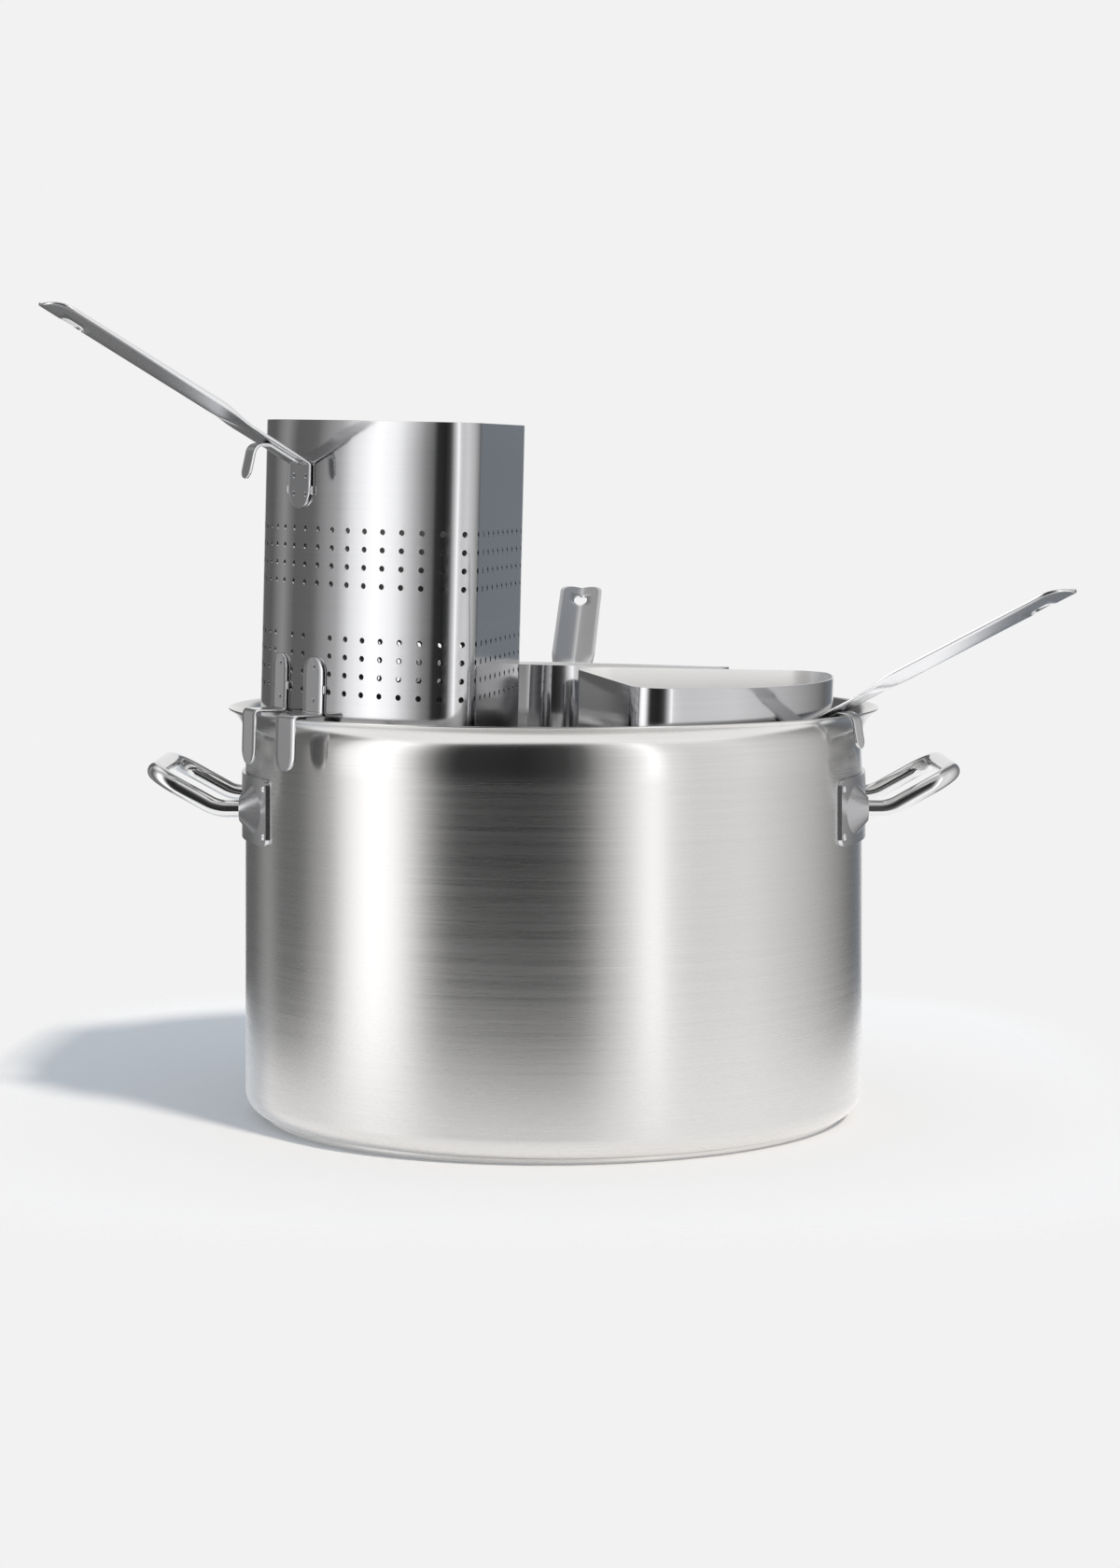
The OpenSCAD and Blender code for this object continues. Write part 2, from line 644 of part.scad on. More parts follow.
module left_bracket() {
    color([0.7, 0.71, 0.72]) at_side(-1) bracket();
}
module right_bracket() {
    color([0.7, 0.71, 0.72]) at_side(1) bracket();
}
module left_rivets() {
    color([0.62, 0.62, 0.63]) at_side(-1) rivets();
}
module right_rivets() {
    color([0.62, 0.62, 0.63]) at_side(1) rivets();
}
module left_handle() {
    color([0.86, 0.86, 0.87]) at_side(-1) rod_handle();
}
module right_handle() {
    color([0.86, 0.86, 0.87]) at_side(1) rod_handle();
}

module raised_basket_wall() { seat_raised() basket_wall(); }
module raised_basket_base() { seat_raised() basket_base(); }
module raised_basket_handle() { seat_raised() basket_handle(raised_rise); }
module raised_basket_rest() { seat_raised() basket_rest(raised_rise); }
module raised_basket_hook_a() { seat_raised() basket_hook(-1); }
module raised_basket_hook_b() { seat_raised() basket_hook(1); }
module raised_basket_welds() { seat_raised() basket_welds(); }

module right_basket_wall() { seat_right() basket_wall(); }
module right_basket_base() { seat_right() basket_base(); }
module right_basket_handle() { seat_right() basket_handle(right_rise); }
module right_basket_rest() { seat_right() basket_rest(right_rise); }
module right_basket_hook_a() { seat_right() basket_hook(-1); }
module right_basket_hook_b() { seat_right() basket_hook(1); }
module right_basket_welds() { seat_right() basket_welds(); }

module back_basket_wall() { seat_back() basket_wall(); }
module back_basket_base() { seat_back() basket_base(); }
module back_basket_handle() { seat_back() basket_handle(back_rise); }
module back_basket_rest() { seat_back() basket_rest(back_rise); }
module back_basket_hook_a() { seat_back() basket_hook(-1); }
module back_basket_hook_b() { seat_back() basket_hook(1); }
module back_basket_welds() { seat_back() basket_welds(); }

pot_body();
base_core();
base_cap();
left_bracket();
right_bracket();
left_rivets();
right_rivets();
left_handle();
right_handle();
raised_basket_wall();
raised_basket_base();
raised_basket_handle();
raised_basket_rest();
raised_basket_hook_a();
raised_basket_hook_b();
raised_basket_welds();
right_basket_wall();
right_basket_base();
right_basket_handle();
right_basket_rest();
right_basket_hook_a();
right_basket_hook_b();
right_basket_welds();
back_basket_wall();
back_basket_base();
back_basket_handle();
back_basket_rest();
back_basket_hook_a();
back_basket_hook_b();
back_basket_welds();
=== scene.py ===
# %% [markdown]
# # A pasta pot with quarter strainer baskets
# The pot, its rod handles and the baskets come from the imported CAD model, in metres. This script
# lights them as a small studio would, gives them their steel, and makes the shell, the rods, the
# perforated walls and the bent straps again with smooth faces and soft edges, in the same places.

# %% Start: load the fixed frame
import json
import math
import bmesh
import bpy
from mathutils import Matrix, Vector


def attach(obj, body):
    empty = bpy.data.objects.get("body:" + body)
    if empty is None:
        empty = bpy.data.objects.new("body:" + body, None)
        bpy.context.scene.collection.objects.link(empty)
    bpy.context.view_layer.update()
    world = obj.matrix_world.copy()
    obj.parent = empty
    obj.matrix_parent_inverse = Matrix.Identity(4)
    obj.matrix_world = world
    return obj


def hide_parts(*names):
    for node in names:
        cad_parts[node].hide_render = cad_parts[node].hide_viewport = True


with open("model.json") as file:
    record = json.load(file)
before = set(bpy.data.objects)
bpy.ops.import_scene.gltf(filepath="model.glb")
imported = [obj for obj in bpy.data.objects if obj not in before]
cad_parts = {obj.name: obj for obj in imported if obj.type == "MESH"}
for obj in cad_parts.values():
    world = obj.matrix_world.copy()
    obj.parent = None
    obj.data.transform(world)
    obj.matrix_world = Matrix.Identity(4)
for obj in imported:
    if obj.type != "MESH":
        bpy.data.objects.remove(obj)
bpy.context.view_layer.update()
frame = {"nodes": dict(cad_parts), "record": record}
scene = bpy.context.scene
scene.view_settings.view_transform = "Standard"
MM = 0.001
BASKETS = ("raised_basket", "right_basket", "back_basket")
print("CAD nodes:", len(frame["nodes"]))

# %% [markdown]
# ## The camera
# The photograph was taken level, from two metres away, with the lens shifted down so that the pot's
# walls stay upright. A shifted lens keeps verticals parallel, which tilting the camera would not.

# %% Camera with a shifted lens
CAMERA_DISTANCE = 2.0
EYE_HEIGHT = 0.3617
camera_data = bpy.data.cameras.new("camera")
camera = bpy.data.objects.new("camera", camera_data)
scene.collection.objects.link(camera)
camera.location = (0, -CAMERA_DISTANCE, EYE_HEIGHT)
camera.rotation_euler = (math.radians(90), 0, 0)
camera_data.sensor_fit = "VERTICAL"
camera_data.sensor_height = 36
camera_data.lens = 77.85
camera_data.shift_x = 0.004
camera_data.shift_y = -0.1845
camera_data.clip_end = 50
scene.camera = camera
print("camera lens:", round(camera_data.lens, 2), "mm")

# %% [markdown]
# ## Node helpers
# A material here is a small graph. The helpers below make a node, set its sockets and link it in one
# line, so that each material reads as a list of what its surface does.

# %% Helpers for shader graphs
def add_node(tree, kind, **values):
    """Makes a shader node; values set its sockets by name, with _ for a space."""
    node = tree.nodes.new("ShaderNode" + kind)
    for name, value in values.items():
        node.inputs[name.replace("_", " ")].default_value = value
    return node


def math_node(tree, operation, first, second=None, clamp=False):
    """A Math node whose inputs are sockets or numbers; gives its output socket."""
    node = tree.nodes.new("ShaderNodeMath")
    node.operation = operation
    node.use_clamp = clamp
    for socket, value in zip(node.inputs, (first, second)):
        if isinstance(value, bpy.types.NodeSocket):
            tree.links.new(value, socket)
        elif value is not None:
            socket.default_value = value
    return node.outputs[0]


def ramp_node(tree, factor, stops):
    """A ColorRamp from (place, value or colour) stops; gives its colour socket."""
    node = tree.nodes.new("ShaderNodeValToRGB")
    ramp = node.color_ramp
    while len(ramp.elements) < len(stops):
        ramp.elements.new(1.0)
    for element, (place, value) in zip(ramp.elements, stops):
        element.position = place
        colour = value if isinstance(value, tuple) else (value, value, value)
        element.color = (*colour, 1)
    tree.links.new(factor, node.inputs[0])
    return node.outputs[0]


print("helpers ready")

# %% [markdown]
# ## The studio
# Polished steel shows little of itself and much of the room, so the room is made first. It has a
# pale backdrop behind the pot, a softbox at the left, a bright wall with a lamp at the front right,
# and a dark side where the camera stands. It is painted on the sky by direction, which costs
# nothing to render and gives a reflection in every piece at once. The camera sees the same sky.

# %% The room by direction around the pot, and its ceiling
BACKDROP = 0.888
# (degrees from the camera's side towards the right, brightness)
ROOM = (
    (-180, BACKDROP), (-170, BACKDROP), (-166, 0.13), (-146, 0.14), (-131, 0.42), (-121, 0.17), (-106, 0.2),
    (-98, 0.45), (-90, 0.62), (-82, 1.35), (-70, 1.9), (-60, 1.6), (-54, 1.05), (-48, 0.5), (-42, 0.15),
    (-36, 0.04), (-10, 0.025), (4, 0.06), (11, 0.16), (26, 0.95), (31, 1.3),
    (37, 1.8), (43, 1.15), (52, 0.97), (76, 1.05), (108, 0.72), (133, 0.36), (145, 0.18),
    (154, (0.2, 0.22, 0.25)), (161, (0.26, 0.285, 0.32)), (166, BACKDROP), (180, BACKDROP),
)
OVERHEAD = ((-180, 0.3), (-150, 1.4), (-90, 0.6), (-20, 0.6), (30, 0.8), (90, 0.6), (150, 0.18), (180, 0.3))
world = bpy.data.worlds.new("studio")
scene.world = world
world.use_nodes = True
sky = world.node_tree
sky.nodes.clear()
direction = add_node(sky, "TexCoord").outputs["Generated"]
split = sky.nodes.new("ShaderNodeSeparateXYZ")
sky.links.new(direction, split.inputs[0])
turn = math_node(sky, "ARCTAN2", split.outputs["X"], math_node(sky, "MULTIPLY", split.outputs["Y"], -1))
around = math_node(sky, "ADD", math_node(sky, "DIVIDE", turn, 2 * math.pi), 0.5)
room = ramp_node(sky, around, [((a + 180) / 360, v) for a, v in ROOM])
ceiling = ramp_node(sky, around, [((a + 180) / 360, v) for a, v in OVERHEAD])
height = math_node(sky, "ADD", math_node(sky, "MULTIPLY", split.outputs["Z"], 0.5), 0.5)
overhead = ramp_node(sky, height, [(0.0, 0.0), (0.78, 0.0), (0.93, 1.0)])
mix_room = sky.nodes.new("ShaderNodeMix")
mix_room.data_type = "RGBA"
sky.links.new(overhead, mix_room.inputs["Factor"])
sky.links.new(room, mix_room.inputs["A"])
sky.links.new(ceiling, mix_room.inputs["B"])
print("room stops:", len(ROOM))

# %% The soft light that diffuse surfaces get from the same room
SOFT_LIGHT = (0.6, 0.645, 0.7)
rays = add_node(sky, "LightPath")
seen = math_node(sky, "MAXIMUM", rays.outputs["Is Camera Ray"], rays.outputs["Is Glossy Ray"])
seen = math_node(sky, "MAXIMUM", seen, rays.outputs["Is Transmission Ray"])
soft = add_node(sky, "Background", Color=(*SOFT_LIGHT, 1))
shown = sky.nodes.new("ShaderNodeBackground")
sky.links.new(mix_room.outputs["Result"], shown.inputs["Color"])
by_ray = sky.nodes.new("ShaderNodeMixShader")
sky.links.new(seen, by_ray.inputs[0])
sky.links.new(soft.outputs[0], by_ray.inputs[1])
sky.links.new(shown.outputs[0], by_ray.inputs[2])
sky.links.new(by_ray.outputs[0], sky.nodes.new("ShaderNodeOutputWorld").inputs[0])
print("sky nodes:", len(sky.nodes))

# %% [markdown]
# ## The lamp and the table
# One broad lamp at the right throws the soft shadow to the left. The table is a pale plane that
# fades out close behind the pot, where the backdrop takes over without a seam. A wider table would
# fill the lower half of every reflection with white and hide the dark bands of the room. The white
# of the photograph is clipped, so the table has a painted glow that only reflections see, and
# reflections see it brighter than the camera does.

# %% The broad lamp
LAMP_TURN = math.radians(40)
LAMP_RISE = math.radians(44)
sun_data = bpy.data.lights.new("broad_lamp", "SUN")
sun_data.energy = 2.36
sun_data.angle = math.radians(7)
sun_data.color = (1.0, 0.912, 0.81)
sun = bpy.data.objects.new("broad_lamp", sun_data)
scene.collection.objects.link(sun)
sun.rotation_euler = (math.pi / 2 - LAMP_RISE, 0, LAMP_TURN)
sun.visible_glossy = False
print("lamp:", sun_data.energy)

# %% The pale table's material, which fades out away from the pot
TABLE_HALF = (0.36, 0.43)
TABLE_COLOUR = (0.826, 0.834, 0.846)
# Share of the way to the table's edge that is solid, and the strength of the painted glow that only
# reflections see
TABLE_SOLID = 0.89
PAINTED_TABLE_GLOW = 0.35
table_material = bpy.data.materials.new("pale_table")
table_material.use_nodes = True
tree = table_material.node_tree
tree.nodes.clear()
place = tree.nodes.new("ShaderNodeSeparateXYZ")
tree.links.new(add_node(tree, "TexCoord").outputs["Object"], place.inputs[0])
fourth_powers = []
for axis, half in zip("XY", TABLE_HALF):
    share = math_node(tree, "DIVIDE", place.outputs[axis], half)
    square = math_node(tree, "MULTIPLY", share, share)
    fourth_powers.append(math_node(tree, "MULTIPLY", square, square))
# 1 on the edge of a sheet with rounded corners, 0 in its middle
reach = math_node(tree, "POWER", math_node(tree, "ADD", *fourth_powers), 0.25)
fade = math_node(tree, "DIVIDE", math_node(tree, "SUBTRACT", reach, TABLE_SOLID), 1 - TABLE_SOLID, clamp=True)
lit = add_node(tree, "BsdfDiffuse", Color=(*TABLE_COLOUR, 1))
# Painted glow: an emission on the table that only glossy rays see, so reflections show the table brighter
painted_glow = add_node(tree, "Emission", Color=(1, 1, 1, 1))
glossy = add_node(tree, "LightPath").outputs["Is Glossy Ray"]
tree.links.new(math_node(tree, "MULTIPLY", glossy, PAINTED_TABLE_GLOW), painted_glow.inputs["Strength"])
table_material.cycles.emission_sampling = "NONE"
bright = tree.nodes.new("ShaderNodeAddShader")
tree.links.new(lit.outputs[0], bright.inputs[0])
tree.links.new(painted_glow.outputs[0], bright.inputs[1])
clear = add_node(tree, "BsdfTransparent")
mixed = tree.nodes.new("ShaderNodeMixShader")
tree.links.new(fade, mixed.inputs[0])
tree.links.new(bright.outputs[0], mixed.inputs[1])
tree.links.new(clear.outputs[0], mixed.inputs[2])
tree.links.new(mixed.outputs[0], tree.nodes.new("ShaderNodeOutputMaterial").inputs[0])
print("table material nodes:", len(tree.nodes))

# %% The table itself
TABLE_MIDDLE = (0.0, 0.06)
table_mesh = bpy.data.meshes.new("table")
table_shape = bmesh.new()
bmesh.ops.create_grid(table_shape, x_segments=1, y_segments=1, size=1)
bmesh.ops.scale(table_shape, vec=(*TABLE_HALF, 1), verts=table_shape.verts)
table_shape.to_mesh(table_mesh)
table_shape.free()
table = bpy.data.objects.new("table", table_mesh)
scene.collection.objects.link(table)
table.location = (*TABLE_MIDDLE, 0)
table_mesh.materials.append(table_material)
print("table:", [round(2 * half, 2) for half in TABLE_HALF], "m")

# %% [markdown]
# ## Steel
# All the metal but the pot's core is one alloy in several finishes. What changes is the grain: its
# direction, how deep it is, and how far it blurs a reflection. One node group draws the grain, and
# each material places it with its own stretch and depth.

# %% A group that draws fine grain lines
# Strength of the broad bands beside the fine lines
BAND_STRENGTH = 0.4
grain = bpy.data.node_groups.new("steel_grain", "ShaderNodeTree")
for name, kind, first in (("Place", "NodeSocketVector", None), ("Stretch", "NodeSocketVector", None),
                          ("Depth", "NodeSocketFloat", 0.3), ("Roughness", "NodeSocketFloat", 0.25),
                          ("Contrast", "NodeSocketFloat", 0.08)):
    socket = grain.interface.new_socket(name=name, in_out="INPUT", socket_type=kind)
    if first is not None:
        socket.default_value = first
for name in ("Roughness", "Shade", "Height"):
    grain.interface.new_socket(name=name, in_out="OUTPUT", socket_type="NodeSocketFloat")
given = grain.nodes.new("NodeGroupInput")
result = grain.nodes.new("NodeGroupOutput")
scaled = grain.nodes.new("ShaderNodeVectorMath")
scaled.operation = "MULTIPLY"
grain.links.new(given.outputs["Place"], scaled.inputs[0])
grain.links.new(given.outputs["Stretch"], scaled.inputs[1])
fine = add_node(grain, "TexNoise", Scale=1.0, Detail=3.0, Roughness=0.65)
broad = add_node(grain, "TexNoise", Scale=0.13, Detail=2.0, Roughness=0.5)
for noise in (fine, broad):
    grain.links.new(scaled.outputs[0], noise.inputs["Vector"])
lines = math_node(grain, "SUBTRACT", fine.outputs[0], 0.5)
bands = math_node(grain, "SUBTRACT", broad.outputs[0], 0.5)
both = math_node(grain, "ADD", lines, math_node(grain, "MULTIPLY", bands, BAND_STRENGTH))
spread = math_node(grain, "MULTIPLY", both, given.outputs["Contrast"])
grain.links.new(math_node(grain, "ADD", given.outputs["Roughness"], spread), result.inputs["Roughness"])
grain.links.new(math_node(grain, "ADD", 1.0, spread), result.inputs["Shade"])
grain.links.new(math_node(grain, "MULTIPLY", lines, given.outputs["Depth"]), result.inputs["Height"])
print("grain group inputs:", len(given.outputs) - 1)


# %% A function that makes a finish from the grain
RAMPS_PER_METRE = 4


def steel(name, colour, stretch, roughness, contrast, depth, anisotropy=0.0, rotation=0.0, polished_above=0):
    """Steel with grain; stretch is lines per metre along X, Y and Z; heights are in metres."""
    material = bpy.data.materials.new(name)
    material.use_nodes = True
    tree = material.node_tree
    shader = tree.nodes["Principled BSDF"]
    shader.inputs["Metallic"].default_value = 1.0
    shader.inputs["Anisotropic"].default_value = anisotropy
    shader.inputs["Anisotropic Rotation"].default_value = rotation
    place = add_node(tree, "TexCoord").outputs["Object"]
    group = tree.nodes.new("ShaderNodeGroup")
    group.node_tree = grain
    group.inputs["Stretch"].default_value = stretch
    group.inputs["Depth"].default_value = depth
    group.inputs["Roughness"].default_value = roughness
    group.inputs["Contrast"].default_value = contrast
    tree.links.new(place, group.inputs["Place"])
    tint = tree.nodes.new("ShaderNodeVectorMath")
    tint.operation = "SCALE"
    tint.inputs[0].default_value = colour
    tree.links.new(group.outputs["Shade"], tint.inputs["Scale"])
    tree.links.new(tint.outputs[0], shader.inputs["Base Color"])
    blur = group.outputs["Roughness"]
    if polished_above:
        z = tree.nodes.new("ShaderNodeSeparateXYZ")
        tree.links.new(place, z.inputs[0])
        # A ramp ends at 1, so it is made to span a quarter of a metre
        share = math_node(tree, "MULTIPLY", z.outputs["Z"], RAMPS_PER_METRE)
        edge = RAMPS_PER_METRE * polished_above
        polish = ramp_node(tree, share, ((edge, 1.0), (edge + 0.04, 0.45)))
        blur = math_node(tree, "MULTIPLY", blur, polish)
    tree.links.new(blur, shader.inputs["Roughness"])
    bump = add_node(tree, "Bump", Strength=1.0, Distance=MM)
    tree.links.new(group.outputs["Height"], bump.inputs["Height"])
    tree.links.new(bump.outputs[0], shader.inputs["Normal"])
    if anisotropy:
        tangent = tree.nodes.new("ShaderNodeTangent")
        tangent.direction_type = "RADIAL"
        tangent.axis = "Z"
        tree.links.new(tangent.outputs[0], shader.inputs["Tangent"])
    return material


print("ramp height:", 1 / RAMPS_PER_METRE, "m")

# %% The finishes, each for one material slot of the record
FINISHES = {
    "pot_steel": steel("brushed_pot_steel", (0.63, 0.62, 0.61), (9, 9, 2600), 0.28, 0.17, 0.01,
                       anisotropy=0.88, rotation=0.25, polished_above=0.205),
    "base_aluminium": steel("core_aluminium", (0.7, 0.7, 0.7), (60, 60, 60), 0.4, 0.1, 0.0),
    "bracket_steel": steel("stamped_steel", (0.60, 0.60, 0.61), (40, 40, 900), 0.22, 0.08, 0.006),
    "rod_chrome": steel("polished_rod_steel", (0.68, 0.68, 0.68), (20, 20, 20), 0.1, 0.02, 0.0),
    "basket_steel": steel("polished_basket_steel", (0.55, 0.55, 0.56), (5, 5, 700), 0.11, 0.07, 0.004),
    "strap_steel": steel("satin_strap_steel", (0.72, 0.72, 0.73), (20, 20, 20), 0.2, 0.03, 0.0),
}
print("finishes:", ", ".join(FINISHES))

# %% The inside of a basket, and the materials of the CAD nodes
# It is satin, and its colour is painted darker with depth: painted shade for the light that is lost from wall
# to wall
INSIDE_STEEL = bpy.data.materials.new("satin_inside_steel_painted_shade")
INSIDE_STEEL.use_nodes = True
tree = INSIDE_STEEL.node_tree
shader = tree.nodes["Principled BSDF"]
shader.inputs["Metallic"].default_value = 0.5
shader.inputs["Roughness"].default_value = 0.45
below = tree.nodes.new("ShaderNodeAttribute")
below.attribute_name = "painted_shade_depth"
# Painted shade: the base colour goes from pale at the rim to dark deep inside the basket
shade = ramp_node(tree, below.outputs["Fac"], ((0.0, 0.88), (0.12, 0.7), (0.35, 0.16)))
tree.links.new(shade, shader.inputs["Base Color"])
for subpart in frame["record"]["subparts"]:
    mesh = frame["nodes"][subpart["node"]].data
    mesh.materials.clear()
    mesh.materials.append(FINISHES[subpart["material_slot"]])

# %% [markdown]
# ## Sizes
# The pieces that are made again here keep the CAD's driving sizes. They are built in millimetres,
# as on a workshop drawing, and turned into metres when a piece is done.

# %% Sizes of the pot, in millimetres
POT_INNER_R, POT_SHEET, POT_H, BASE_H = 180, 1, 238, 3
POT_R = POT_INNER_R + POT_SHEET
CORNER_R, LIP_OVERHANG, FLARE_H, FLARE_POWER = 12, 10.5, 28, 4
ROD_D, ROD_SPAN, ROD_DROP, ROD_TENON = 10, 104, 56.6, 4
ROD_LEG_LEN, ROD_RISE_LEN, ROD_BEND_R, ROD_CORNER_R = 12.5, 42.5, 22, 16
ROD_RISE = math.radians(29)
ROD_Z = POT_H - ROD_DROP
BOSS_STAND = 7.1
BOSS_TOP_X = math.sqrt(POT_R ** 2 - (ROD_SPAN / 2) ** 2) + BOSS_STAND
ROD_BEND_X = BOSS_TOP_X + ROD_LEG_LEN
print("pot radius:", POT_R, "mm, bosses at", round(BOSS_TOP_X, 1))

# %% Sizes of the baskets, in millimetres
BASKET_H, BASKET_R, BASKET_SHEET = 200, 158, 1
BASKET_CORNER_R, APEX_R, BASKET_INSET = 18, 26, 2
HOLE_R, HOLE_PITCH, ROW_PITCH, FIRST_ROW, BAND_GAP, BAND_ROWS = 1.7, 12.35, 10, 61, 30, 4
PATTERN_SHIFT, STRAP_SHEET = 1, 1.5
# Gap at a weld, gap under a seat, plays of a hook, and the raised basket's distance from the pot
WELD_GAP, SEAT_GAP, HOOK_RIM_PLAY, HOOK_WALL_PLAY, RAISED_GAP = 0.1, 0.3, 1.3, 0.8, 5.8
TAB_W, TAB_H, HANDLE_DROP, HANDLE_BEND_R = 24, 24, 26, 2
HANDLE_LEN, HANDLE_W, HANDLE_FLAT, HANDLE_BLEND = 179, 28, 38, 25
GUTTER = math.radians(19)
SLOT_W, SLOT_L, SLOT_IN = 8.5, 15, 21
REST_W, REST_TAIL, REST_BEND_R, REST_HOOK_R, REST_TURN = 10, 10, 6, 5, 78
REST_LEVEL, REST_PAST_LIP = 1.5, 0.2
HOOK_W, HOOK_DROP, HOOK_PLATE_H, HOOK_LEG, HOOK_BEND_R = 17.5, 165, 33, 30, 1.5
HOOK_REACH = POT_SHEET + LIP_OVERHANG + RAISED_GAP + HOOK_RIM_PLAY
# The hooks cover the two blank columns, one and a half pitches from the middle
HOOK_HALF = 1.5 * HOLE_PITCH
print("hook reach:", round(HOOK_REACH, 1), "mm")

# %% Where each basket sits
RAISED_ROLL, LEAN = 1.4, 2.2
ROLL_RISE = (HOOK_HALF + PATTERN_SHIFT + HOOK_W / 2) * math.sin(math.radians(RAISED_ROLL))
RAISED_TOP = HOOK_DROP + SEAT_GAP + ROLL_RISE
INPLACE_TOP = 16.6
LEAN_SHIFT = (HOOK_DROP - INPLACE_TOP) * math.sin(math.radians(LEAN))
INPLACE_R = POT_INNER_R - HOOK_WALL_PLAY - HOOK_REACH - STRAP_SHEET + LEAN_SHIFT
# Azimuth from the front, wall's distance from the axis, top above the rim, lean, roll, handle's
# rise; angles are in degrees
SEATS = {
    "raised_basket": (-56.5, POT_INNER_R - RAISED_GAP, RAISED_TOP, -0.7, RAISED_ROLL, 27.5),
    "right_basket": (59, INPLACE_R, INPLACE_TOP, LEAN, 0, 28.8),
    "back_basket": (176.5, INPLACE_R, INPLACE_TOP, LEAN, -1.1, 24.4),
}
print("raised basket's top:", round(RAISED_TOP, 1), "mm above the rim")

# %% [markdown]
# ## From a shape to a piece
# Every piece ends the same way: its faces turn outwards, smooth shading stops at real edges, and it
# takes the place of its CAD node on the same body. One function does this for all of them.

# %% Turn a shape into a piece
ALONG_Y = Vector((0, 1, 0))
UP = Vector((0, 0, 1))
# Edges that fold by more than this angle are softened by this many millimetres
SQUARE_FOLD, SOFT_EDGE = math.radians(60), 0.3


def make_piece(shape, name, node, inner_finish=None, sharp=24):
    """A piece from a bmesh in millimetres, which stands for a CAD node on the node's body."""
    bmesh.ops.scale(shape, vec=(MM, MM, MM), verts=shape.verts)
    bmesh.ops.recalc_face_normals(shape, faces=shape.faces)
    for face in shape.faces:
        face.smooth = True
    mesh = bpy.data.meshes.new(name)
    shape.to_mesh(mesh)
    shape.free()
    mesh.set_sharp_from_angle(angle=math.radians(sharp))
    slot = next(part["material_slot"] for part in frame["record"]["subparts"] if part["node"] == node)
    mesh.materials.append(FINISHES[slot])
    if inner_finish:
        mesh.materials.append(inner_finish)
    piece = bpy.data.objects.new(name, mesh)
    scene.collection.objects.link(piece)
    body = next(body for body, nodes in frame["record"]["behaviour"]["bodies"].items() if node in nodes)
    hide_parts(node)
    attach(piece, body)
    return piece


# %% [markdown]
# ## The pot's shell
# A drawn pot is a turned shape, so its outline is drawn once and spun round the axis. The outline
# goes up the outside, round the thin edge of the pouring rim, and down the inside again, which makes
# a shell with a real thickness and a rounded edge for the light to catch.

# %% Outline of the shell, from the axis out and back
def arc(mid, radius, start, end, steps=8):
    """Points on an arc, in degrees, as [across, up]."""
    turns = [math.radians(start + (end - start) * i / steps) for i in range(steps + 1)]
    return [(mid[0] + radius * math.cos(a), mid[1] + radius * math.sin(a)) for a in turns]


def flare(share, side):
    """Point of the flaring wall's outside (1) or inside (-1), from its foot (0) to the rim (1)."""
    tilt = math.atan(FLARE_POWER * LIP_OVERHANG / FLARE_H * share ** (FLARE_POWER - 1))
    top = POT_H - POT_SHEET / 2 * math.sin(math.atan(FLARE_POWER * LIP_OVERHANG / FLARE_H))
    across = POT_R - POT_SHEET / 2 + LIP_OVERHANG * share ** FLARE_POWER
    half = side * POT_SHEET / 2
    return across + half * math.cos(tilt), top - FLARE_H * (1 - share) - half * math.sin(tilt)


FLARE_STEPS = 16
# The rim's rounded edge starts a little below the full height, so that it ends at it
LIP_SHARE = 0.985
flare_shares = [LIP_SHARE * i / FLARE_STEPS for i in range(FLARE_STEPS + 1)]
corner_mid = (POT_R - CORNER_R, BASE_H + CORNER_R)
outline = [(0, BASE_H)] + arc(corner_mid, CORNER_R, -90, 0)
outline += [flare(share, 1) for share in flare_shares]
lip = [flare(LIP_SHARE, side) for side in (1, -1)]
lip_mid = ((lip[0][0] + lip[1][0]) / 2, (lip[0][1] + lip[1][1]) / 2)
lip_turn = math.degrees(math.atan2(lip[0][1] - lip_mid[1], lip[0][0] - lip_mid[0]))
outline += arc(lip_mid, POT_SHEET / 2, lip_turn, lip_turn + 180, 6)[1:-1]
outline += [flare(share, -1) for share in reversed(flare_shares)]
outline += arc(corner_mid, CORNER_R - POT_SHEET, 0, -90) + [(0, BASE_H + POT_SHEET)]
print("outline points:", len(outline))

# %% Spin the outline into the shell
SPIN_STEPS = 240


def spin_outline(points):
    """A closed turned shape from an outline that starts and ends on the axis."""
    shape = bmesh.new()
    verts = [shape.verts.new((across, 0, up)) for across, up in points]
    edges = [shape.edges.new(pair) for pair in zip(verts, verts[1:])]
    bmesh.ops.spin(shape, geom=verts + edges, cent=(0, 0, 0), axis=UP, dvec=(0, 0, 0),
                   angle=2 * math.pi, steps=SPIN_STEPS, use_merge=True)
    bmesh.ops.remove_doubles(shape, verts=shape.verts, dist=1e-3)
    return shape


pot_shell = make_piece(spin_outline(outline), "pot_shell", "pot_body", sharp=40)
print("pot shell faces:", len(pot_shell.data.polygons))

# %% [markdown]
# ## The rod handles
# Each side handle is one bent rod. A ring of points travels along the route of its middle: it is
# extruded where the rod is straight and spun where it bends, as a bending machine would do it.

# %% Two moves that a bending machine makes
def push(shape, ring, direction, length):
    """Extrudes a ring of edges straight on; gives the new ring."""
    grown = bmesh.ops.extrude_edge_only(shape, edges=ring)["geom"]
    verts = [item for item in grown if isinstance(item, bmesh.types.BMVert)]
    bmesh.ops.translate(shape, vec=direction * length, verts=verts)
    moved = set(verts)
    return [item for item in grown if isinstance(item, bmesh.types.BMEdge) and set(item.verts) <= moved]


def turn_ring(shape, ring, middle, axis, angle, steps):
    """Spins a ring of edges round an axis; gives the new ring."""
    spun = bmesh.ops.spin(shape, geom=ring, cent=middle, axis=axis, dvec=(0, 0, 0), angle=angle, steps=steps)
    return [item for item in spun["geom_last"] if isinstance(item, bmesh.types.BMEdge)]


print("rod diameter:", ROD_D, "mm")


